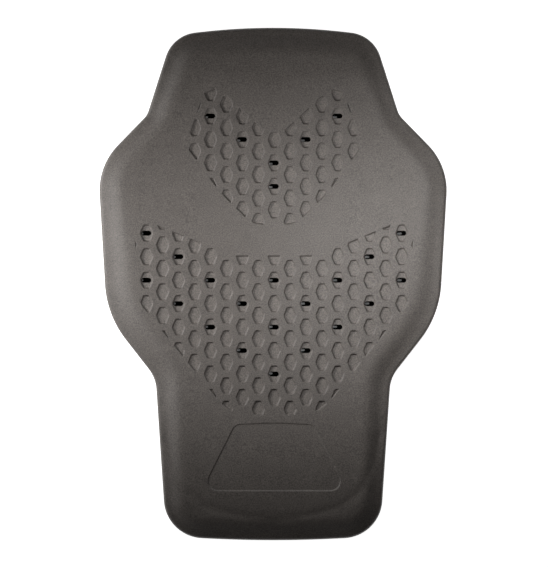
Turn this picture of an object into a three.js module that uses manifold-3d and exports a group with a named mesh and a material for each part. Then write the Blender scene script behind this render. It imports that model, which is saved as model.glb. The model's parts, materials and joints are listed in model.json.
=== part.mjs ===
// Back protector: one compression-moulded foam pad that slides into the back pocket of a riding jacket.
// Millimetres. It lies with its patterned face up: +Z is out of that face, +Y towards the wearer's head,
// +X to the right of someone who looks at the face. The origin is under its middle, on the surface it lies on.
import * as THREE from 'three';
import { mergeVertices } from 'three/addons/utils/BufferGeometryUtils.js';
import Module from 'manifold-3d';

const wasm = await Module();
wasm.setup();

// The pad
const panelLength = 440;
const panelWidth = 296.6;
const panelThickness = 18; // in the middle, before the recesses
const restStripWidth = 90; // the back is flat across this width, and the pad lies on it
const wingRadius = 660; // how the sides curve up beyond that strip
const collarLength = 112; // the upper end thins out over this length
const collarFall = 4.5;
const tailLength = 128; // and so does the lower end
const tailFall = 5;
const marginWidth = 20; // the sloped margin round the face
const marginFall = 6;
const rimRadius = 2.5; // the edges of the outer wall

// The hexagonal recesses
const patternShift = 0.95; // the whole pattern sits a little to the right of the outline's middle
const columnPitch = 13.61;
const rowPitch = 20.06;
const hexWidth = 11.4; // point to point, at the face
const hexHeight = 14.4;
const hexFlat = 4.7; // the level edge at the top and bottom of a hexagon
const recessDepth = 1.8;
const wallRun = 0.8; // how far a recess's wall leans in on its way down
const smallestRecess = 3; // square millimetres: a clipped hexagon smaller than this isn't cut
const shortestRecess = 4; // nor is one that is shorter than this along Y
const cutterRise = 1; // how far the cutters stand out of the face

// The vent slots: a pocket from the recess's floor, and a slit from the pocket's left end out of the back
const pocketLength = 8.4;
const pocketWidth = 4.2;
const pocketShift = -0.3; // from the hexagon's middle, along X
const webThickness = 3; // what is left under a pocket
const slitLength = 5;
const slitWidth = 1.7;
const slitShift = -2.8; // from the pocket's middle, along X
const slitFan = 0.012; // the slits spread with the curve of the pad: shift per millimetre from the middle

// The plain sunk panel near the lower end
const sunkDepth = 0.6;
const sunkRun = 0.8; // how far its wall leans in on the way down

// How finely the outlines are stepped
const outlineTurn = Math.PI / 14;
const outlineStep = 26;
const groupTurn = Math.PI / 8;

const halfWidth = panelWidth / 2;
const halfLength = panelLength / 2;

// Corners of half of each outline, from the top down. x and round are shares of half the pad's width,
// and y of half its length. margin is a share of marginWidth. The other half is its mirror image.
const padCorners = [
  { at: 'top edge', x: 0, y: 1.0183, round: 3.6, margin: 1.05 },
  { at: 'top corner', x: 0.581, y: 0.972, round: 0.2, margin: 1.05 },
  { at: 'neck', x: 0.7275, y: 0.6582, round: 0.115, margin: 0.9 },
  { at: 'shoulder', x: 1.0095, y: 0.46, round: 0.38, margin: 0.95 },
  { at: 'flank', x: 0.9595, y: -0.121, round: 0.58, margin: 1.15 },
  { at: 'waist', x: 0.6784, y: -0.3664, round: 0.209, margin: 1 },
  { at: 'lower corner', x: 0.6176, y: -0.9865, round: 0.23, margin: 1.5 },
  { at: 'bottom edge', x: 0, y: -1.0064, round: 7.1, margin: 0.95 },
];
const upperGroupCorners = [
  { at: 'notch', x: 0, y: 0.5605, round: 0.115 },
  { at: 'inner tip', x: 0.325, y: 0.7645, round: 0.02 },
  { at: 'outer tip', x: 0.406, y: 0.744, round: 0.02 },
  { at: 'side', x: 0.511, y: 0.538, round: 0.081 },
  { at: 'lower side', x: 0.31, y: 0.3545, round: 0.809 },
  { at: 'foot', x: 0.125, y: 0.231, round: 0.135 },
];
const lowerGroupCorners = [
  { at: 'inner edge', x: 0.244, y: 0.1105, round: 0.04 },
  { at: 'tip', x: 0.812, y: 0.268, round: 0.067 },
  { at: 'side', x: 0.772, y: -0.076, round: 0.108 },
  { at: 'foot', x: 0.255, y: -0.509, round: 0.243 },
];
const plainPanelCorners = [
  { at: 'top edge', x: 0, y: -0.5375, round: 1.5 },
  { at: 'top corner', x: 0.2275, y: -0.545, round: 0.05 },
  { at: 'lower corner', x: 0.421, y: -0.8055, round: 0.06 },
];

// The hexagons that hold a vent slot: columns count from the middle one, rows from row 0 down,
// and each row here is cut on both sides of the middle.
const ventPlaces = [
  { column: 4, row: -7 },
  { column: 2, row: -6 },
  { column: 0, row: -5 },
  { column: 0, row: -4 },
  { column: 8, row: -2 },
  { column: 6, row: -1 },
  { column: 8, row: 0 },
  { column: 4, row: 0 },
  { column: 0, row: 0 },
  { column: 6, row: 1 },
  { column: 2, row: 1 },
  { column: 4, row: 2 },
  { column: 0, row: 2 },
  { column: 2, row: 3 },
  { column: 0, row: 4 },
];
const evenColumnStart = 3.25; // Y of row 0 in the middle column and every second one from it

const foam = new THREE.MeshStandardMaterial({ color: 0x4a4744, roughness: 0.62, metalness: 0 });

// The outlines

// Both halves of an outline, in millimetres.
function mirrored(corners, shift = 0) {
  const right = corners.map((corner) => ({
    x: corner.x * halfWidth,
    y: corner.y * halfLength,
    round: corner.round * halfWidth,
    margin: (corner.margin ?? 0) * marginWidth,
  }));
  const left = right.filter((corner) => corner.x > 0).map((corner) => ({ ...corner, x: -corner.x }));
  return [...right, ...left.reverse()].map((corner) => ({ ...corner, x: corner.x + shift }));
}

// How far each corner's arc reaches along its two sides: less than asked where a side is too short for it.
function arcReaches(corners, sides, turns) {
  const count = corners.length;
  const asked = corners.map((corner, i) => corner.round * Math.tan(Math.abs(turns[i]) / 2));
  return asked.map((reach, i) => {
    const before = (i + count - 1) % count;
    const roomBefore = (0.98 * sides[before].length()) / (asked[before] + reach);
    const roomAfter = (0.98 * sides[i].length()) / (reach + asked[(i + 1) % count]);
    return reach * Math.min(1, roomBefore, roomAfter);
  });
}

// A closed loop round the corners, clockwise seen from above, with an arc at each corner. No step turns more
// than arcStep or runs further than longestStep. Each point holds its inward direction.
function roundedLoop(corners, arcStep, longestStep) {
  const count = corners.length;
  const apexes = corners.map((corner) => new THREE.Vector2(corner.x, corner.y));
  const sides = apexes.map((apex, i) => apexes[(i + 1) % count].clone().sub(apex));
  const turns = sides.map((side, i) => {
    const arriving = sides[(i + count - 1) % count];
    return Math.atan2(arriving.cross(side), arriving.dot(side));
  });
  const reaches = arcReaches(corners, sides, turns);
  const loop = [];
  apexes.forEach((apex, i) => {
    const arriving = sides[(i + count - 1) % count].clone().normalize();
    const inwardAtStart = new THREE.Vector2(arriving.y, -arriving.x);
    const radius = (reaches[i] / Math.tan(Math.abs(turns[i]) / 2)) * -Math.sign(turns[i]);
    const centre = apex.clone().addScaledVector(arriving, -reaches[i]).addScaledVector(inwardAtStart, radius);
    const arcSteps = Math.ceil(Math.abs(turns[i]) * Math.max(1 / arcStep, Math.abs(radius) / longestStep));
    for (let step = 0; step <= arcSteps; step += 1) {
      const inward = inwardAtStart.clone().rotateAround(new THREE.Vector2(), (turns[i] * step) / arcSteps);
      loop.push({ at: centre.clone().addScaledVector(inward, -radius), inward, corner: i });
    }
    const { at: from, inward } = loop[loop.length - 1];
    const after = (i + 1) % count;
    const to = apexes[after].clone().addScaledVector(sides[i].clone().normalize(), -reaches[after]);
    const runSteps = Math.ceil(from.distanceTo(to) / longestStep);
    for (let step = 1; step < runSteps; step += 1) {
      loop.push({ at: from.clone().lerp(to, step / runSteps), inward: inward.clone() });
    }
  });
  return loop;
}

// Gives each point of the pad's loop its margin: a corner's own in the middle of its arc, and an even
// blend along the loop from one corner to the next.
function spreadMargins(loop, corners) {
  let length = 0;
  loop.forEach((point, i) => {
    if (i > 0) length += point.at.distanceTo(loop[i - 1].at);
    point.along = length;
  });
  length += loop[0].at.distanceTo(loop[loop.length - 1].at);
  const middles = corners.map((corner, i) => {
    const arc = loop.filter((point) => point.corner === i);
    return (arc[0].along + arc[arc.length - 1].along) / 2;
  });
  loop.forEach((point) => {
    const passed = middles.findLastIndex((middle) => middle <= point.along);
    const here = (passed + corners.length) % corners.length;
    const next = (here + 1) % corners.length;
    const gone = (point.along - middles[here] + length) % length;
    const whole = (middles[next] - middles[here] + length) % length;
    const blend = THREE.MathUtils.smoothstep(gone / whole, 0, 1);
    point.margin = THREE.MathUtils.lerp(corners[here].margin, corners[next].margin, blend);
  });
  return loop;
}

// The two faces of the pad

function wingLift(x) {
  const beyond = Math.max(0, Math.abs(x) - restStripWidth / 2);
  return beyond ** 2 / (2 * wingRadius);
}

function endFall(y) {
  const intoCollar = Math.max(0, (y - (halfLength - collarLength)) / collarLength);
  const intoTail = Math.max(0, (-y - (halfLength - tailLength)) / tailLength);
  return collarFall * intoCollar ** 2 + tailFall * intoTail ** 2;
}

function backHeight(x) {
  return wingLift(x);
}

function faceHeight(x, y) {
  return backHeight(x) + panelThickness - endFall(y);
}

// Solids

function solidFrom(positions, indices) {
  const raw = new THREE.BufferGeometry();
  raw.setAttribute('position', new THREE.Float32BufferAttribute(positions, 3));
  raw.setIndex(indices);
  const merged = mergeVertices(raw, 1e-4);
  const triangles = [];
  for (let i = 0; i < merged.index.count; i += 3) {
    const [a, b, c] = [0, 1, 2].map((corner) => merged.index.getX(i + corner));
    if (a !== b && b !== c && a !== c) triangles.push(a, b, c);
  }
  merged.setIndex(triangles);
  return merged;
}

function manifoldOf(geometry) {
  const mesh = new wasm.Mesh({
    numProp: 3,
    vertProperties: new Float32Array(geometry.getAttribute('position').array),
    triVerts: new Uint32Array(geometry.index.array),
  });
  return new wasm.Manifold(mesh);
}

function geometryOf(solid) {
  const mesh = solid.getMesh();
  const geometry = new THREE.BufferGeometry();
  geometry.setAttribute('position', new THREE.Float32BufferAttribute(mesh.vertProperties, mesh.numProp));
  geometry.setIndex(Array.from(mesh.triVerts));
  geometry.computeVertexNormals();
  return geometry;
}

// A closed solid through rings of equal length, clockwise seen from above, from the lowest up.
function lofted(rings) {
  const count = rings[0].length;
  const positions = rings.flat().flatMap((point) => [point.x, point.y, point.z]);
  const indices = [];
  for (let ring = 0; ring + 1 < rings.length; ring += 1) {
    for (let i = 0; i < count; i += 1) {
      const [a, b] = [ring * count + i, ring * count + ((i + 1) % count)];
      indices.push(b, a, b + count, a, a + count, b + count);
    }
  }
  return { positions, indices, count, last: (rings.length - 1) * count };
}

// The pad before it is cut: rings from the line along the middle of its back, out round the edge and
// in again to the same line on its face.
function padBody() {
  const corners = mirrored(padCorners);
  const loop = spreadMargins(roundedLoop(corners, outlineTurn, outlineStep), corners);
  const lineHalf = halfLength - collarLength / 2;
  const place = (point, inset) => point.at.clone().addScaledVector(point.inward, inset);
  const onLine = (point) => new THREE.Vector2(0, THREE.MathUtils.clamp(place(point, point.margin).y, -lineHalf, lineHalf));
  const onBack = (at) => new THREE.Vector3(at.x, at.y, backHeight(at.x));
  const onFace = (at, fall) => new THREE.Vector3(at.x, at.y, faceHeight(at.x, at.y) - fall);
  const fallAt = (point, inset) => marginFall * Math.max(0, 1 - inset / point.margin);
  const across = (point, share) => place(point, point.margin).lerp(onLine(point), share);
  const raised = (at, by) => at.add(new THREE.Vector3(0, 0, by));
  const rings = [
    (p) => onBack(across(p, 1)),
    (p) => onBack(across(p, 0.4)),
    (p) => onBack(place(p, p.margin)),
    (p) => onBack(place(p, rimRadius)),
    (p) => raised(onBack(place(p, 0)), rimRadius),
    (p) => raised(onFace(place(p, 0), fallAt(p, 0)), -rimRadius),
    (p) => onFace(place(p, rimRadius), fallAt(p, rimRadius)),
    (p) => onFace(place(p, p.margin), 0),
    (p) => onFace(across(p, 0.25), 0),
    (p) => onFace(across(p, 0.55), 0),
    (p) => onFace(across(p, 1), 0),
  ];
  const { positions, indices } = lofted(rings.map((ring) => loop.map(ring)));
  return manifoldOf(solidFrom(positions, indices));
}

// A closed prism between a lower and an upper ring, with its ends filled.
function prism(lower, upper) {
  const { positions, indices, count, last } = lofted([lower, upper]);
  const flat = lower.map((point) => new THREE.Vector2(point.x, point.y));
  THREE.ShapeUtils.triangulateShape(flat, []).forEach(([a, b, c]) => {
    const up = flat[b].clone().sub(flat[a]).cross(flat[c].clone().sub(flat[a])) > 0;
    const [second, third] = up ? [b, c] : [c, b];
    indices.push(a, third, second, last + a, last + second, last + third);
  });
  return solidFrom(positions, indices);
}

function hexagon(x, y, grow) {
  const [wide, high, flat] = [hexWidth / 2 + grow, hexHeight / 2 + grow, hexFlat / 2 + grow / 2];
  const clockwise = [[-wide, 0], [-flat, high], [flat, high], [wide, 0], [flat, -high], [-flat, -high]];
  return clockwise.map(([dx, dy]) => new THREE.Vector2(x + dx, y + dy));
}

// A ring of a cutter, at a height above the face: its walls lean out on the way up.
function leaningRing(outlineAt, above) {
  const grow = (above / recessDepth) * wallRun;
  return outlineAt(grow).map((at) => new THREE.Vector3(at.x, at.y, faceHeight(at.x, at.y) + above));
}

function groupPrism(corners) {
  const loop = roundedLoop(mirrored(corners, patternShift), groupTurn, panelLength);
  const outlineAt = (grow) => loop.map((point) => point.at.clone().addScaledVector(point.inward, -grow));
  return prism(leaningRing(outlineAt, -2.5 * recessDepth), leaningRing(outlineAt, 2.5 * recessDepth));
}

function columnX(column) {
  return patternShift + column * columnPitch;
}

function rowY(column, row) {
  const odd = Math.abs(column) % 2 === 1;
  return evenColumnStart - row * rowPitch + (odd ? rowPitch / 2 : 0);
}

// The hexagons of one group, clipped by its outline.
function recesses(corners) {
  const bounds = new THREE.Box2().setFromPoints(mirrored(corners));
  const columns = Math.ceil(bounds.max.x / columnPitch);
  const group = manifoldOf(groupPrism(corners));
  const cut = [];
  for (let column = -columns; column <= columns; column += 1) {
    const lowest = Math.floor((evenColumnStart - bounds.max.y) / rowPitch) - 1;
    const highest = Math.ceil((evenColumnStart - bounds.min.y) / rowPitch) + 1;
    for (let row = lowest; row <= highest; row += 1) {
      const outlineAt = (grow) => hexagon(columnX(column), rowY(column, row), grow);
      const whole = prism(leaningRing(outlineAt, -recessDepth), leaningRing(outlineAt, cutterRise));
      const clipped = manifoldOf(whole).intersect(group);
      const { min, max } = clipped.boundingBox();
      const wideEnough = clipped.volume() > smallestRecess * (recessDepth + cutterRise);
      if (wideEnough && max[1] - min[1] > shortestRecess) cut.push(clipped);
    }
  }
  return cut;
}

// A slot's outline: straight along X, with round ends.
function stadium(x, y, length, width) {
  const [radius, straight] = [width / 2, (length - width) / 2];
  const loop = [];
  for (const side of [1, -1]) {
    for (let step = 0; step <= 3; step += 1) {
      const angle = side * (Math.PI / 2) - (step / 3) * Math.PI;
      loop.push(new THREE.Vector2(x + side * straight + radius * Math.cos(angle), y + radius * Math.sin(angle)));
    }
  }
  return loop;
}

function levelRing(outline, heightAt) {
  return outline.map((at) => new THREE.Vector3(at.x, at.y, heightAt(at.x, at.y)));
}

// Both cuts of one vent: the pocket down to the web, and the slit out of the back.
function ventCuts(x, y) {
  const pocketX = x + pocketShift;
  const pocket = stadium(pocketX, y, pocketLength, pocketWidth);
  const slit = stadium(pocketX + slitShift + slitFan * x, y, slitLength, slitWidth);
  const webTop = (atX) => backHeight(atX) + webThickness;
  return [
    prism(levelRing(pocket, webTop), levelRing(pocket, (atX, atY) => faceHeight(atX, atY) + recessDepth)),
    prism(levelRing(slit, (atX) => backHeight(atX) - webThickness), levelRing(slit, (atX) => webTop(atX) + webThickness)),
  ];
}

function vents() {
  return ventPlaces.flatMap(({ column, row }) => {
    const sides = column === 0 ? [1] : [-1, 1];
    return sides.flatMap((side) => ventCuts(columnX(side * column), rowY(column, row)).map(manifoldOf));
  });
}

function plainPanel() {
  const loop = roundedLoop(mirrored(plainPanelCorners, patternShift), groupTurn, panelLength);
  const ring = (inset, above) => {
    const outline = loop.map((point) => point.at.clone().addScaledVector(point.inward, inset));
    return levelRing(outline, (x, y) => faceHeight(x, y) + above);
  };
  return manifoldOf(prism(ring(sunkRun, -sunkDepth), ring(-sunkRun, sunkDepth)));
}

function foamPanel() {
  const cuts = [...recesses(upperGroupCorners), ...recesses(lowerGroupCorners), ...vents(), plainPanel()];
  const cut = cuts.reduce((body, tool) => body.subtract(tool), padBody());
  const mesh = new THREE.Mesh(geometryOf(cut), foam);
  mesh.name = 'foam_panel';
  return mesh;
}

const backProtector = new THREE.Group();
backProtector.add(foamPanel());

export default backProtector;
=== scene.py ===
import json
import math

import bmesh
import bpy
import numpy as np
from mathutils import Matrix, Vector, noise

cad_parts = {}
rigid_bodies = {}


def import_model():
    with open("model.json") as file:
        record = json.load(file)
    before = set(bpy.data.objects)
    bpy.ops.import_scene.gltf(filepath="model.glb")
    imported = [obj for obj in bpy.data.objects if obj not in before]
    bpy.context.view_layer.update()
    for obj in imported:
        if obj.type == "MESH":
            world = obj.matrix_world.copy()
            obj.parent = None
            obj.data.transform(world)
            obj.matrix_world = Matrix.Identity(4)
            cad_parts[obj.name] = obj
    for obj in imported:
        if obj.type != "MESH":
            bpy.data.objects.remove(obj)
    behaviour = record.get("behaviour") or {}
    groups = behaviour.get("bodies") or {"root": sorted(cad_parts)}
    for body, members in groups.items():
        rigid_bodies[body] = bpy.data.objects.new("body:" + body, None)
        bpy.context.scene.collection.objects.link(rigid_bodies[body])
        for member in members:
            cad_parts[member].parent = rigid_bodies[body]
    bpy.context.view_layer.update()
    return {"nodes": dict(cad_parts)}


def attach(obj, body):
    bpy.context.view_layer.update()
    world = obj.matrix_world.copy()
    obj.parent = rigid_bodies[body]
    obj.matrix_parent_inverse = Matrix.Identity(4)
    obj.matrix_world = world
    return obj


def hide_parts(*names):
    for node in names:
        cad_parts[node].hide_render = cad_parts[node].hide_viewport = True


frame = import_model()
mm = 0.001
print("frame loaded:", ", ".join(frame["nodes"]))

# Sizes are in millimetres, and each mesh is turned to metres as it is made.
pad = {
    "length": 440.0,
    "width": 296.6,
    "thickness": 18.0,
    "restStrip": 90.0,  # the back is flat across this width
    "wingRadius": 660.0,  # how the sides curve up beyond it
    "collarLength": 112.0,
    "collarFall": 4.5,
    "tailLength": 128.0,
    "tailFall": 5.0,
    "marginWidth": 20.0,
    "marginFall": 6.0,
    "rimRound": 2.5,
    "partingRise": 0.25,  # the fine line round the wall where the mould halves met
    "turn": 5.0,  # degrees between the outline's points on its arcs
    "step": 3.2,  # and millimetres between them on straight runs
}

# Corners of half the outline from the top down: x and round as shares of half the width, y of half
# the length, margin of the margin's width. Brim is the slope at the outline, as a share of the
# margin's steepest.
padCorners = [
    {"at": "top edge", "x": 0, "y": 1.0183, "round": 3.6, "margin": 1.05, "brim": 0.35},
    {"at": "top corner", "x": 0.581, "y": 0.972, "round": 0.2, "margin": 1.05, "brim": 0.3},
    {"at": "neck", "x": 0.7275, "y": 0.6582, "round": 0.115, "margin": 0.9, "brim": 0.7},
    {"at": "shoulder", "x": 1.0095, "y": 0.46, "round": 0.38, "margin": 0.95, "brim": 0.85},
    {"at": "flank", "x": 0.9595, "y": -0.121, "round": 0.58, "margin": 1.15, "brim": 0.5},
    {"at": "waist", "x": 0.6784, "y": -0.3664, "round": 0.209, "margin": 1, "brim": 0.45},
    {"at": "lower corner", "x": 0.6176, "y": -0.9865, "round": 0.23, "margin": 0.8, "brim": 0.6},
    {"at": "bottom edge", "x": 0, "y": -1.0064, "round": 7.1, "margin": 0.95, "brim": 0.7},
]
upperGroupCorners = [
    {"at": "notch", "x": 0, "y": 0.5605, "round": 0.115},
    {"at": "inner tip", "x": 0.325, "y": 0.7645, "round": 0.02},
    {"at": "outer tip", "x": 0.406, "y": 0.744, "round": 0.02},
    {"at": "side", "x": 0.511, "y": 0.538, "round": 0.081},
    {"at": "lower side", "x": 0.31, "y": 0.3545, "round": 0.809},
    {"at": "foot", "x": 0.125, "y": 0.231, "round": 0.135},
]
lowerGroupCorners = [
    {"at": "inner edge", "x": 0.244, "y": 0.1105, "round": 0.04},
    {"at": "tip", "x": 0.812, "y": 0.268, "round": 0.067},
    {"at": "side", "x": 0.772, "y": -0.076, "round": 0.108},
    {"at": "foot", "x": 0.255, "y": -0.509, "round": 0.243},
]
plainPanelCorners = [
    {"at": "top edge", "x": 0, "y": -0.5375, "round": 1.5},
    {"at": "top corner", "x": 0.2275, "y": -0.545, "round": 0.05},
    {"at": "lower corner", "x": 0.421, "y": -0.8055, "round": 0.06},
]
halfWidth = pad["width"] / 2
halfLength = pad["length"] / 2


def mirrored(corners, shift=0.0):
    right = [
        {
            "at": Vector((corner["x"] * halfWidth, corner["y"] * halfLength)),
            "round": corner["round"] * halfWidth,
            "margin": corner.get("margin", 0) * pad["marginWidth"],
            "brim": corner.get("brim", 0),
        }
        for corner in corners
    ]
    offMiddle = [corner for corner in right if corner["at"].x > 0]
    left = [{**corner, "at": Vector((-corner["at"].x, corner["at"].y))} for corner in offMiddle]
    return [{**corner, "at": corner["at"] + Vector((shift, 0))} for corner in right + left[::-1]]


def roundedLoop(corners, arcDegrees, longestStep):
    # Clockwise seen from above. Returns points, inward directions and the corner of each arc point.
    count, arcTurn = len(corners), math.radians(arcDegrees)
    apexes = [corner["at"] for corner in corners]
    sides = [apexes[(i + 1) % count] - apexes[i] for i in range(count)]
    turns = []
    for i in range(count):
        before, after = sides[i - 1], sides[i]
        turns.append(math.atan2(before.x * after.y - before.y * after.x, before.dot(after)))
    asked = [corner["round"] * math.tan(abs(turn) / 2) for corner, turn in zip(corners, turns)]
    reaches = []
    for i in range(count):
        roomBefore = 0.98 * sides[i - 1].length / (asked[i - 1] + asked[i])
        roomAfter = 0.98 * sides[i].length / (asked[i] + asked[(i + 1) % count])
        reaches.append(asked[i] * min(1, roomBefore, roomAfter))
    points, inwards, owners = [], [], []
    for i, apex in enumerate(apexes):
        arriving = sides[i - 1].normalized()
        startInward = Vector((arriving.y, -arriving.x))
        radius = reaches[i] / math.tan(abs(turns[i]) / 2) * -math.copysign(1, turns[i])
        centre = apex - arriving * reaches[i] + startInward * radius
        steps = math.ceil(abs(turns[i]) * max(1 / arcTurn, abs(radius) / longestStep))
        for step in range(steps + 1):
            angle = turns[i] * step / steps
            cosine, sine = math.cos(angle), math.sin(angle)
            across = startInward.x * cosine - startInward.y * sine
            inward = Vector((across, startInward.x * sine + startInward.y * cosine))
            points.append(centre - inward * radius)
            inwards.append(inward)
            owners.append(i)
        after = (i + 1) % count
        start = points[-1].copy()
        end = apexes[after] - sides[i].normalized() * reaches[after]
        runs = math.ceil((end - start).length / longestStep)
        for step in range(1, runs):
            points.append(start.lerp(end, step / runs))
            inwards.append(inwards[-1].copy())
            owners.append(-1)
    return np.array([tuple(p) for p in points]), np.array([tuple(v) for v in inwards]), np.array(owners)


def outlineOf(corners, arcDegrees, longestStep):
    # The loop's points for any distance outwards from it.
    points, inwards, _ = roundedLoop(corners, arcDegrees, longestStep)
    return lambda distance: points - inwards * distance


def quarterTurn(steps):
    return [math.pi / 2 * step / steps for step in range(steps + 1)]


def smoothstep(value, low=0.0, high=1.0):
    share = np.clip((value - low) / (high - low), 0, 1)
    return share * share * (3 - 2 * share)


def spreadAlong(points, owners, corners, column):
    # Each corner's own value in the middle of its arc, and a smooth blend along the loop between.
    steps = np.linalg.norm(np.roll(points, -1, axis=0) - points, axis=1)
    along = np.concatenate([[0], np.cumsum(steps[:-1])])
    length = steps.sum()
    middles = np.array([along[owners == i].mean() for i in range(len(corners))])
    values = np.empty(len(points))
    for k, place in enumerate(along):
        passed = [i for i, middle in enumerate(middles) if middle <= place]
        here = passed[-1] if passed else len(corners) - 1
        after = (here + 1) % len(corners)
        gone = (place - middles[here]) % length
        whole = (middles[after] - middles[here]) % length
        blend = smoothstep(gone / whole)
        values[k] = corners[here][column] * (1 - blend) + corners[after][column] * blend
    return values


mergeReach = 0.002  # points closer together than this become one
sliverReach = 0.001


def meshFromArrays(name, positions, faces):
    mesh = bpy.data.meshes.new(name)
    mesh.from_pydata([tuple(mm * c for c in p) for p in positions], [], faces)
    work = bmesh.new()
    work.from_mesh(mesh)
    bmesh.ops.remove_doubles(work, verts=work.verts, dist=mergeReach * mm)
    bmesh.ops.dissolve_degenerate(work, edges=work.edges, dist=sliverReach * mm)
    bmesh.ops.recalc_face_normals(work, faces=work.faces)
    bmesh.ops.triangulate(work, faces=work.faces)
    work.to_mesh(mesh)
    work.free()
    return mesh


def loftFaces(ringCount, count):
    # Quads between rings that run clockwise seen from above, from the lowest up.
    faces = []
    for ring in range(ringCount - 1):
        for i in range(count):
            a, b = ring * count + i, ring * count + (i + 1) % count
            faces.append((b, a, a + count, b + count))
    return faces


def makeObject(name, mesh):
    piece = bpy.data.objects.new(name, mesh)
    bpy.context.scene.collection.objects.link(piece)
    return piece


def makePrism(name, rings, floorRings=()):
    # A closed solid through plan rings at their heights: (points, height) from the lowest up. Its floor
    # narrows in rings, shares of the first one's size, to a point in the middle.
    first = np.array(rings[0][0])
    middle = first.mean(axis=0)
    inner = [(middle + (first - middle) * share, rings[0][1]) for share in sorted(floorRings)]
    rings = inner + list(rings)
    count = len(first)
    positions = [(x, y, height) for points, height in rings for x, y in points]
    positions.append((*middle, rings[0][1]))
    bottom, top = len(positions) - 1, (len(rings) - 1) * count
    faces = loftFaces(len(rings), count)
    faces += [(i, (i + 1) % count, bottom) for i in range(count)]
    positions.append((*middle, rings[-1][1]))
    faces += [(top + (i + 1) % count, top + i, bottom + 1) for i in range(count)]
    return meshFromArrays(name, positions, faces)


# The moulded pad

outlineCorners = mirrored(padCorners)
padPoints, padInwards, padOwners = roundedLoop(outlineCorners, pad["turn"], pad["step"])
padMargins = spreadAlong(padPoints, padOwners, outlineCorners, "margin")
padBrims = spreadAlong(padPoints, padOwners, outlineCorners, "brim")

relief = {
    "collarLine": 179.0,  # height of the soft bend across the neck
    "collarDip": 8.0,  # how far the bend runs down in the middle
    "collarDipWidth": 24.0,
    "collarTilt": 0.1,  # how much more the neck leans away just above the bend
    "collarStep": 13.0,  # and how far up it goes on so
    "collarBeyond": 0.015,  # what is left of that lean beyond
    "bendSoftness": 1.4,
    "creaseDepth": 0.6,
    "creaseHalf": 3.6,
    "waveHeight": 0.1,  # the slow unevenness of a moulded skin
    "waveLength": 55.0,
    "waveLevel": 3.7,  # which slice of the noise it takes
}

# The soft crease round the lower end, where the foam folds a little: half of it, from the middle out.
creaseLine = [
    {"at": "bottom", "x": 0, "y": -202.0},
    {"at": "turn", "x": 30.0, "y": -198.0},
    {"at": "corner", "x": 57.0, "y": -191.0},
    {"at": "rise", "x": 76.0, "y": -176.0},
    {"at": "side", "x": 85.0, "y": -154.0},
    {"at": "end", "x": 91.0, "y": -128.0},
]


def marginTable():
    # How far the margin has fallen, by the distance in from the outline as a share of its width, in two
    # parts: what the gently sloped brim adds, and the steep part. Both have a soft toe on the plateau.
    shares = np.linspace(0, 1.3, 261)  # the toe runs a little past the margin's own width
    rising, left = smoothstep(shares, 0.2, 0.55), 1 - smoothstep(shares, 0.6, 1.25)
    parts = []
    for slope in ((1 - rising) * left, rising * left):
        parts.append(np.concatenate([[0], np.cumsum((slope[1:] + slope[:-1]) / 2)]))
    return shares, parts[0], parts[1]


marginShares, brimPart, steepPart = marginTable()


def marginFall(shares, brims):
    whole = brims * brimPart[-1] + steepPart[-1]
    fallen = brims * np.interp(shares, marginShares, brimPart) + np.interp(shares, marginShares, steepPart)
    return 1 - fallen / whole


def betweenPoints(values, parts=4):
    # The values of the outline's points with more between them, all round.
    after = np.roll(values, -1, axis=0)
    spread = [values * (1 - k / parts) + after * (k / parts) for k in range(parts)]
    return np.stack(spread, axis=1).reshape(-1, *values.shape[1:])


finePoints, fineMargins, fineBrims = (betweenPoints(values) for values in (padPoints, padMargins, padBrims))
atOnce = 2000  # places measured in one go, to spare memory


def fromOutline(places):
    # Distance to the outline, and the margin's width and brim at the nearest point of it.
    found = np.empty((len(places), 3))
    for start in range(0, len(places), atOnce):
        part = places[start : start + atOnce]
        gaps = np.linalg.norm(part[:, None, :] - finePoints[None, :, :], axis=2)
        nearest = gaps.argmin(axis=1)
        distances = gaps[np.arange(len(part)), nearest]
        columns = [distances, fineMargins[nearest], fineBrims[nearest]]
        found[start : start + atOnce] = np.column_stack(columns)
    return found.T


def fromCrease(places):
    left = [(-point["x"], point["y"]) for point in creaseLine[:0:-1]]
    ends = np.array(left + [(point["x"], point["y"]) for point in creaseLine])
    nearest = np.full(len(places), np.inf)
    for start, end in zip(ends[:-1], ends[1:]):
        run = end - start
        share = np.clip((places - start) @ run / (run @ run), 0, 1)
        nearest = np.minimum(nearest, np.linalg.norm(places - start - share[:, None] * run, axis=1))
    return nearest


def backHeight(places):
    beyond = np.maximum(0, np.abs(places[:, 0]) - pad["restStrip"] / 2)
    return beyond**2 / (2 * pad["wingRadius"])


def softBend(beyond, softness):
    return softness * np.logaddexp(0, beyond / softness)


def faceHeight(places, inset=None):
    x, y = places[:, 0], places[:, 1]
    intoCollar = np.maximum(0, (y - (halfLength - pad["collarLength"])) / pad["collarLength"])
    intoTail = np.maximum(0, (-y - (halfLength - pad["tailLength"])) / pad["tailLength"])
    height = backHeight(places) + pad["thickness"]
    height -= pad["collarFall"] * intoCollar**2 + pad["tailFall"] * intoTail**2
    bend = relief["collarLine"] - relief["collarDip"] * np.exp(-((x / relief["collarDipWidth"]) ** 2))
    height -= relief["collarTilt"] * softBend(y - bend, relief["bendSoftness"])
    eased = relief["collarTilt"] - relief["collarBeyond"]
    height += eased * softBend(y - bend - relief["collarStep"], 2 * relief["bendSoftness"])
    height -= relief["creaseDepth"] * np.exp(-((fromCrease(places) / relief["creaseHalf"]) ** 2))
    distances, widths, brims = fromOutline(places)
    if inset is not None:
        distances = np.broadcast_to(inset, distances.shape)
    height -= pad["marginFall"] * marginFall(distances / widths, brims)
    length = relief["waveLength"]
    waves = [noise.noise(Vector((px / length, py / length, relief["waveLevel"]))) for px, py in places]
    return height + relief["waveHeight"] * np.array(waves)


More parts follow.
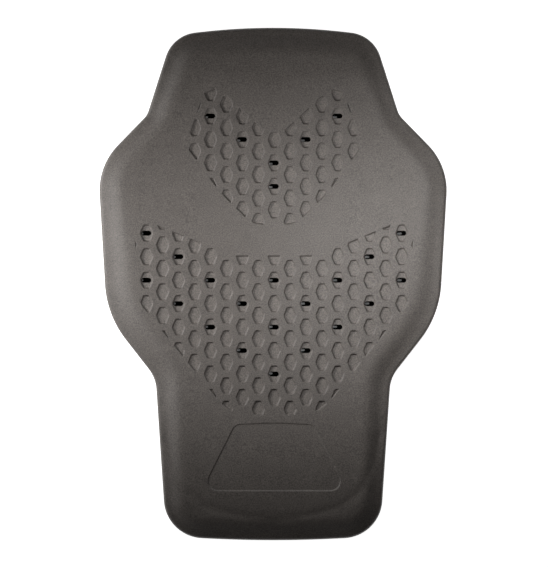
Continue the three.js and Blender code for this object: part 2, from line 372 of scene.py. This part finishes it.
padRings = {  # how many rings of points each stretch of the pad's skin has
    "back": 36,
    "foot": 5,
    "edge": 6,
    "margin": 8,
    "face": 33,
}
backMarginShares = (0.7, 0.4)  # where rings lie on the back, below the margin
wallShares = (0.25, 0.44, 0.5, 0.56, 0.8)  # and up the wall
partingShare = 0.5  # the one of them that stands out as the parting line


def buildPad():
    lineHalf = halfLength - pad["collarLength"] / 2
    innerPoints = padPoints + padInwards * padMargins[:, None]
    lineY = np.clip(innerPoints[:, 1], -lineHalf, lineHalf)
    linePoints = np.column_stack([np.zeros(len(padPoints)), lineY])
    rimRound = pad["rimRound"]
    rings = []

    def inset(distance):
        return padPoints + padInwards * np.reshape(distance, (-1, 1))

    def across(share):
        return innerPoints * (1 - share) + linePoints * share

    def withHeight(places, height):
        rings.append(np.column_stack([places, height]))

    for share in np.linspace(1, 0, padRings["back"] + 1):  # the back, from its middle line out
        withHeight(across(share), backHeight(across(share)))
    for share in backMarginShares:
        distance = rimRound + (padMargins - rimRound) * share
        withHeight(inset(distance), backHeight(inset(distance)))
    outline = inset(0)
    wallFoot = backHeight(outline)
    for angle in quarterTurn(padRings["foot"]):  # rounding at the foot of the wall
        places = inset(rimRound * (1 - math.sin(angle)))
        withHeight(places, wallFoot + rimRound * (1 - math.cos(angle)))
    wallTop = faceHeight(outline, 0)
    low, high = wallFoot + rimRound, wallTop - rimRound
    for share in wallShares:
        rise = pad["partingRise"] if share == partingShare else 0
        withHeight(inset(-rise), low * (1 - share) + high * share)
    for angle in quarterTurn(padRings["edge"]):  # rounding at the edge of the face
        distance = rimRound * (1 - math.cos(angle))
        places = inset(distance)
        withHeight(places, faceHeight(places, distance) - rimRound * (1 - math.sin(angle)))
    for share in np.linspace(0, 1, padRings["margin"] + 1)[1:]:
        distance = rimRound + (padMargins - rimRound) * share
        withHeight(inset(distance), faceHeight(inset(distance)))
    for share in np.linspace(0, 1, padRings["face"] + 1)[1:]:  # the face, in to its middle line
        withHeight(across(share), faceHeight(across(share)))
    mesh = meshFromArrays("padBody", np.concatenate(rings), loftFaces(len(rings), len(padPoints)))
    print("pad body:", len(mesh.polygons), "faces")
    return mesh


# The cutters of the recesses, the vents and the plain panel

recess = {
    "patternShift": 0.95,  # the whole pattern sits a little off the outline's middle
    "columnPitch": 13.61,
    "rowPitch": 20.06,
    "evenColumnStart": 3.25,
    "width": 11.5,
    "height": 14.5,
    "flat": 5.2,
    "sideRound": 3.6,
    "endRound": 1.8,
    "depth": 1.6,
    "wallRun": 0.8,
    "rimRound": 0.4,
    "floorRound": 0.2,
    "shortest": 4.0,  # a clipped hexagon shorter than this isn't cut
    "smallest": 3.0,  # nor is one of a smaller area, in square millimetres
    "turn": 17,  # degrees between the points on a hexagon's rounded corners
    "cutterRise": 1.4,  # how far the hexagon's cutter stands out of the face
    "floorRings": (0.88,),
}
groupLimits = {
    "turn": 10,
    "step": 5.0,
    "rise": 14.0,  # the limits reach past the hexagons' cutters, above and below
    "drop": 9.0,
    "clearance": 1.0,
}
vent = {
    "pocketLength": 8.4,
    "pocketWidth": 4.2,
    "pocketShift": -0.3,
    "web": 3.0,
    "slitLength": 3.9,
    "slitWidth": 1.7,
    "slitShift": -3.05,
    "slitFan": 0.0205,  # the slits spread with the curve of the pad: shift per millimetre from the middle
    # Steps out and up, as the pocket's floor rounds into its wall.
    "footSteps": ((-0.35, 0), (-0.1, 0.1), (0, 0.4)),
    "mouthFlare": 0.35,  # how much wider the slit is where it leaves the back
    "pocketRise": 40.0,  # the cutters reach past the face and the back
    "slitRise": 1.5,
    "slitDrop": 6.0,
}
plainPanel = {
    "depth": 0.6,
    "wallRun": 0.8,
    "rimRound": 0.3,
    "floorRound": 0.3,
    "turn": 8,
    "step": 4.0,
    "cutterRise": 1.5,
    "floorRings": (0.12, 0.24, 0.36, 0.48, 0.6, 0.72, 0.84, 0.95),  # so that the floor can follow the face
}
undivided = 40  # longer than any straight side of a small loop
patternColumns, patternRows = range(-10, 11), range(-9, 8)  # enough to cover both groups
ventPlaces = [
    {"column": 4, "row": -7},
    {"column": 2, "row": -6},
    {"column": 0, "row": -5},
    {"column": 0, "row": -4},
    {"column": 8, "row": -2},
    {"column": 6, "row": -1},
    {"column": 8, "row": 0},
    {"column": 4, "row": 0},
    {"column": 0, "row": 0},
    {"column": 6, "row": 1},
    {"column": 2, "row": 1},
    {"column": 4, "row": 2},
    {"column": 0, "row": 2},
    {"column": 2, "row": 3},
    {"column": 0, "row": 4},
]


def rowY(column, row):
    odd = abs(column) % 2
    return recess["evenColumnStart"] - row * recess["rowPitch"] + odd * recess["rowPitch"] / 2


def wallRings(outlineAt, form, top):
    # Plan outlines of a moulded recess from its floor up: the floor's rounding, the leaning wall, the
    # rounded rim, and a straight piece above the face.
    floorRound, rimRound = form["floorRound"], form["rimRound"]
    lean = form["wallRun"] / form["depth"]
    rings = []
    for angle in quarterTurn(2):
        height = -form["depth"] + floorRound * (1 - math.cos(angle))
        rings.append((outlineAt(height * lean - floorRound * (1 - math.sin(angle))), height))
    for angle in quarterTurn(3):
        height = -rimRound * (1 - math.sin(angle))
        rings.append((outlineAt(height * lean + rimRound * (1 - math.cos(angle))), height))
    rings.append((outlineAt(rimRound), top))
    return rings


def hexagonCorners():
    wide, high, flat = recess["width"] / 2, recess["height"] / 2, recess["flat"] / 2
    side, end = recess["sideRound"], recess["endRound"]
    places = [(-wide, 0, side), (-flat, high, end), (flat, high, end)]
    places += [(-x, -y, radius) for x, y, radius in places]
    return [{"at": Vector((x, y)), "round": radius} for x, y, radius in places]


def hexagonCutter():
    outlineAt = outlineOf(hexagonCorners(), recess["turn"], undivided)
    rings = wallRings(outlineAt, recess, recess["cutterRise"])
    return makePrism("hexagonCutter", rings, recess["floorRings"])


def groupLimit(name, corners):
    limit = mirrored(corners, recess["patternShift"])
    outlineAt = outlineOf(limit, groupLimits["turn"], groupLimits["step"])
    rings = wallRings(outlineAt, recess, groupLimits["rise"])
    foot = rings[0][0]
    below = [(foot, -groupLimits["drop"]), (foot, -recess["depth"] - groupLimits["clearance"])]
    return makePrism(name, below + rings)


def clippedByHexagon(loop, centreX, centreY):
    # The part of a group's outline inside one hexagon, edge by edge.
    corners = [tuple(corner["at"]) for corner in hexagonCorners()]
    inside = [(x - centreX, y - centreY) for x, y in loop]
    for i, (ax, ay) in enumerate(corners):
        bx, by = corners[(i + 1) % len(corners)]

        def depthOf(point):
            return (point[0] - ax) * (by - ay) - (point[1] - ay) * (bx - ax)

        kept = []
        for j, point in enumerate(inside):
            before = inside[j - 1]
            here, last = depthOf(point), depthOf(before)
            if here * last < 0:
                share = last / (last - here)
                kept.append(tuple(b + (p - b) * share for b, p in zip(before, point)))
            if here >= 0:
                kept.append(point)
        inside = kept
        if not inside:
            break
    return inside


def hexagonPlaces(corners):
    loop, _, _ = roundedLoop(mirrored(corners), groupLimits["turn"], undivided)
    shift = recess["patternShift"]
    places = []
    for column in patternColumns:
        for row in patternRows:
            x, y = column * recess["columnPitch"], rowY(column, row)
            cut = clippedByHexagon([tuple(p) for p in loop], x, y)
            if len(cut) < 3:
                continue
            area = abs(sum(a[0] * b[1] - b[0] * a[1] for a, b in zip(cut, cut[1:] + cut[:1]))) / 2
            tall = max(y for _, y in cut) - min(y for _, y in cut)
            if area > recess["smallest"] and tall > recess["shortest"]:
                places.append((x + shift, y, 0))
    return places


def ventMiddles():
    middles = []
    for place in ventPlaces:
        y = rowY(place["column"], place["row"])
        for side in (1, -1) if place["column"] else (1,):
            x = side * place["column"] * recess["columnPitch"] + recess["patternShift"]
            middles.append((x, y, 0))
    return middles


def stadium(length, width, grow=0.0, steps=10):
    radius, straight = width / 2 + grow, (length - width) / 2
    points = []
    for side in (1, -1):
        for step in range(steps + 1):
            angle = side * math.pi / 2 - step / steps * math.pi
            points.append((side * straight + radius * math.cos(angle), radius * math.sin(angle)))
    return points


def pocketCutter():
    length, width = vent["pocketLength"], vent["pocketWidth"]
    rings = [(stadium(length, width, out), vent["web"] + up) for out, up in vent["footSteps"]]
    rings.append((stadium(length, width), vent["pocketRise"]))
    return makePrism("pocketCutter", rings)


def slitCutter():
    length, width, flare = vent["slitLength"], vent["slitWidth"], vent["mouthFlare"]
    outline, mouth = stadium(length, width), stadium(length, width, flare)
    rings = [(mouth, -vent["slitDrop"]), (mouth, 0), (outline, flare)]
    rings.append((outline, vent["web"] + vent["slitRise"]))
    return makePrism("slitCutter", rings)


def panelCutter():
    corners = mirrored(plainPanelCorners, recess["patternShift"])
    outlineAt = outlineOf(corners, plainPanel["turn"], plainPanel["step"])
    rings = wallRings(outlineAt, plainPanel, plainPanel["cutterRise"])
    return makePrism("panelCutter", rings, plainPanel["floorRings"])


def pointsMesh(name, places):
    mesh = bpy.data.meshes.new(name)
    mesh.from_pydata([tuple(mm * c for c in place) for place in places], [], [])
    return mesh


def addNode(tree, kind, inputs=None, **settings):
    node = tree.nodes.new(kind)
    for name, value in settings.items():
        setattr(node, name, value)
    for key, value in (inputs or {}).items():
        for one in value if isinstance(value, list) else [value]:
            if isinstance(one, bpy.types.NodeSocket):
                tree.links.new(one, node.inputs[key])
            else:
                node.inputs[key].default_value = one
    return node


rayStart, rayLength = 0.2, 1.0  # in metres: rays start well clear of the pad and end well past it


def facePatternTree():
    # Sets the cutters out, drops each onto the pad's own face or back, and cuts them all.
    tree = bpy.data.node_groups.new("facePattern", "GeometryNodeTree")
    sockets = {"Pad": "NodeSocketGeometry"}
    for name in ("Hexagon", "Hexagon places", "Group limits", "Panel", "Pocket", "Slit", "Vent places"):
        sockets[name] = "NodeSocketObject"
    for name in ("Recess depth", "Pocket shift", "Slit shift", "Slit fan"):
        sockets[name] = "NodeSocketFloat"
    sockets["Skin"] = "NodeSocketMaterial"
    for name, kind in sockets.items():
        tree.interface.new_socket(name, in_out="INPUT", socket_type=kind)
    tree.interface.new_socket("Pad", in_out="OUTPUT", socket_type="NodeSocketGeometry")
    given = addNode(tree, "NodeGroupInput").outputs
    place = addNode(tree, "GeometryNodeInputPosition").outputs[0]
    flat = addNode(tree, "ShaderNodeVectorMath", {0: place, 1: (1, 1, 0)}, operation="MULTIPLY").outputs[0]
    split = addNode(tree, "ShaderNodeSeparateXYZ", {0: place}).outputs

    def heightAt(fromHeight, direction):
        # The height of the surface that a ray through each point meets.
        start = addNode(tree, "ShaderNodeVectorMath", {0: flat, 1: (0, 0, fromHeight)}, operation="ADD")
        ray = addNode(
            tree,
            "GeometryNodeRaycast",
            {
                "Target Geometry": given["Pad"],
                "Source Position": start.outputs[0],
                "Ray Direction": direction,
                "Ray Length": rayLength,
            },
        )
        return addNode(tree, "ShaderNodeSeparateXYZ", {0: ray.outputs["Hit Position"]}).outputs["Z"]

    def lifted(geometry, height):
        rise = addNode(tree, "ShaderNodeCombineXYZ", {"Z": height}).outputs[0]
        return addNode(tree, "GeometryNodeSetPosition", {"Geometry": geometry, "Offset": rise}).outputs[0]

    faceBelow = heightAt(rayStart, (0, 0, -1))
    backAbove = heightAt(-rayStart, (0, 0, 1))

    def shape(name):
        return addNode(tree, "GeometryNodeObjectInfo", {"Object": given[name]}).outputs["Geometry"]

    def repeated(points, name):
        placed = addNode(tree, "GeometryNodeInstanceOnPoints", {"Points": points, "Instance": shape(name)})
        return addNode(tree, "GeometryNodeRealizeInstances", {"Geometry": placed.outputs[0]}).outputs[0]

    def shifted(geometry, amount):
        move = addNode(tree, "ShaderNodeCombineXYZ", {"X": amount}).outputs[0]
        return addNode(tree, "GeometryNodeSetPosition", {"Geometry": geometry, "Offset": move}).outputs[0]

    # A recess has its rim on the curved face and a level floor, as a plain mould pin leaves it.
    middles = addNode(tree, "GeometryNodeCaptureAttribute", {"Geometry": shape("Hexagon places")})
    middles.capture_items.new("FLOAT", "Middle height")
    tree.links.new(faceBelow, middles.inputs[1])
    pins = repeated(middles.outputs[0], "Hexagon")
    below = addNode(tree, "ShaderNodeMath", {0: split["Z"], 1: -1.0}, operation="MULTIPLY").outputs[0]
    sunk = addNode(
        tree, "ShaderNodeMapRange", {"Value": below, "From Max": given["Recess depth"]}
    ).outputs[0]
    pinHeight = addNode(
        tree,
        "ShaderNodeMix",
        {"Factor": sunk, "A": faceBelow, "B": middles.outputs[1]},
        data_type="FLOAT",
    ).outputs[0]
    hexagons = lifted(pins, pinHeight)
    limits = lifted(shape("Group limits"), faceBelow)
    clipped = addNode(
        tree,
        "GeometryNodeMeshBoolean",
        {"Mesh 2": [hexagons, limits]},
        operation="INTERSECT",
        solver="MANIFOLD",
    )
    panel = lifted(shape("Panel"), faceBelow)
    ventPoints = shifted(shape("Vent places"), given["Pocket shift"])
    pockets = lifted(repeated(ventPoints, "Pocket"), backAbove)
    fan = addNode(
        tree,
        "ShaderNodeMath",
        {0: split["X"], 1: given["Slit fan"], 2: given["Slit shift"]},
        operation="MULTIPLY_ADD",
    )
    slits = lifted(repeated(shifted(ventPoints, fan.outputs[0]), "Slit"), backAbove)
    cut = addNode(
        tree,
        "GeometryNodeMeshBoolean",
        {"Mesh 1": given["Pad"], "Mesh 2": [clipped.outputs["Mesh"], panel, pockets, slits]},
        operation="DIFFERENCE",
        solver="MANIFOLD",
    )
    whole = addNode(tree, "GeometryNodeRealizeInstances", {"Geometry": cut.outputs["Mesh"]})
    painted = {"Geometry": whole.outputs[0], "Material": given["Skin"]}
    finished = addNode(tree, "GeometryNodeSetMaterial", painted)
    addNode(tree, "NodeGroupOutput", {"Pad": finished.outputs[0]})
    return tree


def setInputs(modifier, tree, values):
    for item in tree.interface.items_tree:
        if item.in_out == "INPUT" and item.name in values:
            modifier[item.identifier] = values[item.name]


# Materials


def linearColour(hexCode):
    channels = [int(hexCode[i : i + 2], 16) / 255 for i in (1, 3, 5)]
    return tuple(c / 12.92 if c <= 0.04045 else ((c + 0.055) / 1.055) ** 2.4 for c in channels) + (1.0,)


def newMaterial(name):
    material = bpy.data.materials.new(name)
    material.use_nodes = True
    material.node_tree.nodes.clear()
    return material, material.node_tree


foamSkin = {
    "dark": "#3b3735",
    "light": "#67615c",
    "contrast": 0.2,  # how far from the noise's middle each of the two is reached
    "paintedFloorLight": 1.2,  # painted light: the floors of the recesses are painted this much lighter, for the extra light their level floors catch
    "grain": 0.95,  # millimetres: the real grain is finer, and this is as coarse as it needs to show
    "mottle": 11.0,
    "mottleShare": 0.1,
    "grainDepth": 0.05,
}


def mouldedFoam():
    # Closed-cell foam pressed in a hot mould: a dark warm grey skin with a fine grain, satin, not glossy.
    material, tree = newMaterial("compression-moulded foam, fine-grained satin skin")
    place = addNode(tree, "ShaderNodeTexCoord").outputs["Object"]
    fine, broad = 1 / (foamSkin["grain"] * mm), 1 / (foamSkin["mottle"] * mm)
    grain = addNode(
        tree, "ShaderNodeTexNoise", {"Vector": place, "Scale": fine, "Detail": 3, "Roughness": 0.6}
    ).outputs[0]
    mottle = addNode(tree, "ShaderNodeTexNoise", {"Vector": place, "Scale": broad, "Detail": 2}).outputs[0]
    both = addNode(
        tree, "ShaderNodeMath", {0: mottle, 1: foamSkin["mottleShare"], 2: grain}, operation="MULTIPLY_ADD"
    ).outputs[0]
    middle, reach = 0.5 * (1 + foamSkin["mottleShare"]), foamSkin["contrast"]
    share = addNode(
        tree, "ShaderNodeMapRange", {"Value": both, "From Min": middle - reach, "From Max": middle + reach}
    ).outputs[0]
    colour = addNode(
        tree,
        "ShaderNodeMix",
        {"Factor": share, 6: linearColour(foamSkin["dark"]), 7: linearColour(foamSkin["light"])},
        data_type="RGBA",
    )
    # Painted light: faces on the recesses' floors get a lighter colour.
    floor = addNode(tree, "ShaderNodeAttribute", attribute_name="recessFloor").outputs["Fac"]
    lift = addNode(
        tree, "ShaderNodeMapRange", {"Value": floor, "To Min": 1.0, "To Max": foamSkin["paintedFloorLight"]}
    ).outputs[0]
    lifted = addNode(
        tree, "ShaderNodeVectorMath", {0: colour.outputs[2], "Scale": lift}, operation="SCALE"
    ).outputs[0]
    rough = addNode(
        tree,
        "ShaderNodeMapRange",
        {"Value": grain, "From Min": 0.3, "From Max": 0.7, "To Min": 0.5, "To Max": 0.62},
    ).outputs[0]
    bump = addNode(
        tree, "ShaderNodeBump", {"Height": grain, "Strength": 1.0, "Distance": foamSkin["grainDepth"] * mm}
    ).outputs[0]
    shader = addNode(
        tree,
        "ShaderNodeBsdfPrincipled",
        {"Base Color": lifted, "Roughness": rough, "Normal": bump, "IOR": 1.5},
    )
    addNode(tree, "ShaderNodeOutputMaterial", {"Surface": shader.outputs[0]})
    return material


# Painted shade: the inside of the vents is painted near black, for the shade deep in the pockets.
paintedVentShade = {
    "colour": "#0d0c0b",
    "pore": 0.6,
    "poreDepth": 0.1,
}


def ventWall():
    # The same foam inside the vents, rough and with open pores, its colour painted near black as shade deep
    # in the pockets.
    material, tree = newMaterial("closed-cell foam inside the vents, painted dark for shade")
    shader = addNode(
        tree,
        "ShaderNodeBsdfPrincipled",
        {"Base Color": linearColour(paintedVentShade["colour"]), "Roughness": 0.95, "Specular IOR Level": 0.1},
    )
    place = addNode(tree, "ShaderNodeTexCoord").outputs["Object"]
    pores = addNode(tree, "ShaderNodeTexVoronoi", {"Vector": place, "Scale": 1 / (paintedVentShade["pore"] * mm)})
    height = {"Height": pores.outputs["Distance"], "Distance": paintedVentShade["poreDepth"] * mm}
    bump = addNode(tree, "ShaderNodeBump", height).outputs[0]
    tree.links.new(bump, shader.inputs["Normal"])
    addNode(tree, "ShaderNodeOutputMaterial", {"Surface": shader.outputs[0]})
    return material


board = {
    "colour": "#d8d8d7",
    "glow": 1.0,  # the board is lit evenly, so the pad stands on plain white
    # Painted shadow: the glow is turned down in an oval under the middle of the pad.
    "shadedGlow": 0.07,  # and hardly at all under the middle of the pad, which the slits show
    "shadedCentre": (0, 30),
    "shadedHalf": (135, 145),
    "shadedFade": 0.96,  # the share of those half sizes where the glow starts to come back
    "half": 4000,
    "drop": 0.2,  # how far it lies below the pad, so that the two don't flicker
}


def paleBoard():
    # Matt white paper board: plain, glowing evenly but for a painted shadow under the middle of the pad,
    # with no gloss to show the lights.
    material, tree = newMaterial("matt white paper board")
    place = addNode(tree, "ShaderNodeTexCoord").outputs["Object"]
    shift = tuple(-c * mm for c in board["shadedCentre"]) + (0,)
    scale = tuple(1 / (h * mm) for h in board["shadedHalf"]) + (0,)
    centred = addNode(tree, "ShaderNodeVectorMath", {0: place, 1: shift}, operation="ADD").outputs[0]
    shared = addNode(tree, "ShaderNodeVectorMath", {0: centred, 1: scale}, operation="MULTIPLY").outputs[0]
    reach = addNode(tree, "ShaderNodeVectorMath", {0: shared}, operation="LENGTH").outputs["Value"]
    # Painted shadow: the glow fades down inside the oval.
    glow = addNode(
        tree,
        "ShaderNodeMapRange",
        {
            "Value": reach,
            "From Min": board["shadedFade"],
            "From Max": 1.0,
            "To Min": board["shadedGlow"],
            "To Max": board["glow"],
        },
    ).outputs[0]
    shader = addNode(
        tree,
        "ShaderNodeBsdfPrincipled",
        {
            "Base Color": linearColour(board["colour"]),
            "Roughness": 0.9,
            "Specular IOR Level": 0.2,
            "Emission Color": linearColour("#ffffff"),
            "Emission Strength": glow,
        },
    )
    addNode(tree, "ShaderNodeOutputMaterial", {"Surface": shader.outputs[0]})
    return material


# The stage: camera, floor and lights

view = {
    "distance": 2000.0,
    "seenHeight": 484.4,  # millimetres of the pad's plane from the bottom to the top of the picture
    "centre": (0.77, 0.43),
    "sensor": 36.0,
    "farthest": 50.0,  # metres
}
lamps = [  # soft boxes over the pad: place, aim and power
    {"name": "middleBox", "at": (40, 50, 165), "aim": (32, 40, 0), "power": 0.090},
    {"name": "rightBox", "at": (140, 50, 165), "aim": (112, 40, 0), "power": 0.126},
    {"name": "topRightBox", "at": (140, 150, 165), "aim": (112, 120, 0), "power": 0.070},
    {"name": "leftBox", "at": (-160, 50, 165), "aim": (-128, 40, 0), "power": 0.062},
    {"name": "farLeftBox", "at": (-265, 50, 155), "aim": (-200, 40, 5), "power": 0.180},
    {"name": "lowLeftBox", "at": (-160, -50, 165), "aim": (-128, -40, 0), "power": 0.066},
    {"name": "lowFarLeftBox", "at": (-260, -50, 165), "aim": (-208, -40, 0), "power": 0.125},
    {"name": "lowMiddleBox", "at": (40, -40, 155), "aim": (32, -30, 0), "power": 0.055},
    {"name": "lowRightBox", "at": (165, -45, 120), "aim": (120, -40, 10), "power": 0.011},
    {"name": "lowEdgeBox", "at": (-300, -205, 60), "aim": (-85, -200, 10), "power": 0.055},
]
softBoxSize = (90, 70)
sideLamp = {  # a lamp low down on the far left, with a narrow soft beam that rakes over the recesses
    "distance": 1500.0,
    "elevation": 25,
    "azimuth": 163,
    "aim": (10, 18, 15),
    "reach": 207,
    "softness": 110.0,
    "power": 118.0,
}
sky = 0.86  # the pale backdrop that the side views show, which lights nothing


def makeCamera():
    camera = bpy.data.cameras.new("camera")
    camera.sensor_width = view["sensor"]
    camera.lens = view["sensor"] * (view["distance"] - pad["thickness"]) / view["seenHeight"]
    camera.clip_end = view["farthest"]
    holder = bpy.data.objects.new("camera", camera)
    holder.location = (view["centre"][0] * mm, view["centre"][1] * mm, view["distance"] * mm)
    bpy.context.scene.collection.objects.link(holder)
    bpy.context.scene.camera = holder


def makeLight(name, place, aim, size, power):
    light = bpy.data.lights.new(name, "AREA")
    light.shape = "RECTANGLE"
    light.size, light.size_y = size[0] * mm, size[1] * mm
    light.energy = power
    holder = bpy.data.objects.new(name, light)
    holder.location = Vector(place) * mm
    holder.rotation_euler = ((Vector(aim) - Vector(place)) * mm).to_track_quat("-Z", "Y").to_euler()
    holder.visible_camera = False
    bpy.context.scene.collection.objects.link(holder)


def makeSideLamp():
    light = bpy.data.lights.new("sideLamp", "SPOT")
    light.spot_size = 2 * math.atan(sideLamp["reach"] / sideLamp["distance"])
    light.spot_blend = 1.0
    light.shadow_soft_size = sideLamp["softness"] * mm
    light.energy = sideLamp["power"]
    tilt, turn = math.radians(sideLamp["elevation"]), math.radians(sideLamp["azimuth"])
    away = Vector((math.cos(tilt) * math.cos(turn), math.cos(tilt) * math.sin(turn), math.sin(tilt)))
    holder = bpy.data.objects.new("sideLamp", light)
    holder.location = (Vector(sideLamp["aim"]) + away * sideLamp["distance"]) * mm
    holder.rotation_euler = (-away).to_track_quat("-Z", "Y").to_euler()
    bpy.context.scene.collection.objects.link(holder)


def makeStage():
    edge = board["half"]
    corners = [(-edge, -edge, 0), (edge, -edge, 0), (edge, edge, 0), (-edge, edge, 0)]
    floorMesh = meshFromArrays("floorBoard", corners, [(0, 1, 2, 3)])
    floor = makeObject("floorBoard", floorMesh)
    floor.location.z = -board["drop"] * mm
    floorMesh.materials.append(paleBoard())
    for lamp in lamps:
        makeLight(lamp["name"], lamp["at"], lamp["aim"], softBoxSize, lamp["power"])
    makeSideLamp()
    world = bpy.data.worlds.new("studio")
    world.use_nodes = True
    backdrop = world.node_tree.nodes["Background"].inputs
    backdrop["Color"].default_value = (1, 1, 1, 1)
    backdrop["Strength"].default_value = sky
    for ray in ("diffuse", "glossy", "transmission", "scatter"):
        setattr(world.cycles_visibility, ray, False)
    bpy.context.scene.world = world
    bpy.context.scene.view_settings.view_transform = "Standard"


makeCamera()
makeStage()
print("camera, floor and lights are in place")

# The pad is made, cut by its pattern, and its faces are marked

skin = mouldedFoam()
foamPad = makeObject("foamPad", buildPad())
hexPlaces = hexagonPlaces(upperGroupCorners) + hexagonPlaces(lowerGroupCorners)
ventCentres = ventMiddles()
limits = groupLimit("upperLimit", upperGroupCorners)
lower = groupLimit("lowerLimit", lowerGroupCorners)
work = bmesh.new()
work.from_mesh(limits)
work.from_mesh(lower)
work.to_mesh(limits)
work.free()
print("cutters:", len(hexPlaces), "recesses,", len(ventCentres), "vents")

cutters = {
    "Hexagon": makeObject("hexagonCutter", hexagonCutter()),
    "Hexagon places": makeObject("hexagonPlaces", pointsMesh("hexagonPlaces", hexPlaces)),
    "Group limits": makeObject("groupLimits", limits),
    "Panel": makeObject("panelCutter", panelCutter()),
    "Pocket": makeObject("pocketCutter", pocketCutter()),
    "Slit": makeObject("slitCutter", slitCutter()),
    "Vent places": makeObject("ventPlaces", pointsMesh("ventPlaces", ventCentres)),
}
tree = facePatternTree()
modifier = foamPad.modifiers.new("face pattern", "NODES")
modifier.node_group = tree
setInputs(
    modifier,
    tree,
    {
        **cutters,
        "Recess depth": recess["depth"] * mm,
        "Pocket shift": vent["pocketShift"] * mm,
        "Slit shift": vent["slitShift"] * mm,
        "Slit fan": vent["slitFan"],
        "Skin": skin,
    },
)
bpy.context.view_layer.update()
evaluated = foamPad.evaluated_get(bpy.context.evaluated_depsgraph_get())
cutMesh = bpy.data.meshes.new_from_object(evaluated)
foamPad.modifiers.remove(modifier)
foamPad.data = cutMesh
for cutter in cutters.values():
    bpy.data.objects.remove(cutter)
cutMesh.name = "foamPad"
cutMesh.materials.clear()
cutMesh.materials.append(skin)
cutMesh.materials.append(ventWall())


def readFaces(mesh, name):
    values = np.empty(3 * len(mesh.polygons))
    mesh.polygons.foreach_get(name, values)
    return values.reshape(-1, 3)


def beyondStadium(places, x, y, length, width):
    # How far each place lies outside a stadium's outline, and less than nothing inside it.
    along = np.maximum(0, np.abs(places[:, 0] - x) - (length - width) / 2)
    return np.hypot(along, places[:, 1] - y) - width / 2


markLimits = {  # what tells a face in a vent, or on a recess's floor, from the rest
    "aboveWeb": 1.0,
    "pocketReach": 0.05,
    "slitReach": 0.4,
    "aboveBack": 0.05,
    "wallTilt": 0.9,  # the upward part of a face's direction: less on a pocket's wall
    "floorTilt": 0.985,  # and more on a floor
    "lowestFloor": 5.0,
    "sunkShare": 0.7,  # of the recess's depth
}


def markFaces(mesh):
    centres, normals = readFaces(mesh, "center") / mm, readFaces(mesh, "normal")
    level = centres[:, 2] - backHeight(centres)
    low = level < vent["web"] + markLimits["aboveWeb"]
    inVent = np.zeros(len(centres), dtype=bool)
    for x, y, _ in ventCentres:
        pocketX = x + vent["pocketShift"]
        slitX = pocketX * (1 + vent["slitFan"]) + vent["slitShift"]
        fromPocket = beyondStadium(centres, pocketX, y, vent["pocketLength"], vent["pocketWidth"])
        fromSlit = beyondStadium(centres, slitX, y, vent["slitLength"], vent["slitWidth"])
        inVent |= (fromPocket < markLimits["pocketReach"]) & (low | (normals[:, 2] < markLimits["wallTilt"]))
        inVent |= low & (fromSlit < markLimits["slitReach"])
    inVent &= level > markLimits["aboveBack"]
    facingUp = normals[:, 2] > markLimits["floorTilt"]
    upward = np.flatnonzero(facingUp & ~inVent & (level > markLimits["lowestFloor"]))
    nearHexagon = np.zeros(len(upward), dtype=bool)
    for x, y, _ in hexPlaces:
        away = np.abs(centres[upward, :2] - (x, y))
        nearHexagon |= (away[:, 0] < recess["width"] / 2) & (away[:, 1] < recess["height"] / 2)
    upward = upward[nearHexagon]
    sunk = faceHeight(centres[upward, :2]) - centres[upward, 2]
    recessFloor = np.zeros(len(centres))
    recessFloor[upward[sunk > markLimits["sunkShare"] * recess["depth"]]] = 1
    mesh.attributes.new("recessFloor", "FLOAT", "FACE").data.foreach_set("value", recessFloor)
    # Faces in the vents take the second material, painted dark for shade.
    mesh.polygons.foreach_set("material_index", inVent.astype(np.int32))
    print("faces in the vents:", int(inVent.sum()), "and on recess floors:", int(recessFloor.sum()))


markFaces(cutMesh)
sharpEdge = 40  # degrees between two faces
cutMesh.shade_smooth()
cutMesh.set_sharp_from_angle(angle=math.radians(sharpEdge))
weighted = foamPad.modifiers.new("even shading", "WEIGHTED_NORMAL")
weighted.keep_sharp = True
weighted.weight = 100
triangles = sum(len(face.vertices) - 2 for face in cutMesh.polygons)
print("foam pad:", len(cutMesh.vertices), "vertices,", triangles, "triangles")

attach(foamPad, "root")
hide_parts("foam_panel")
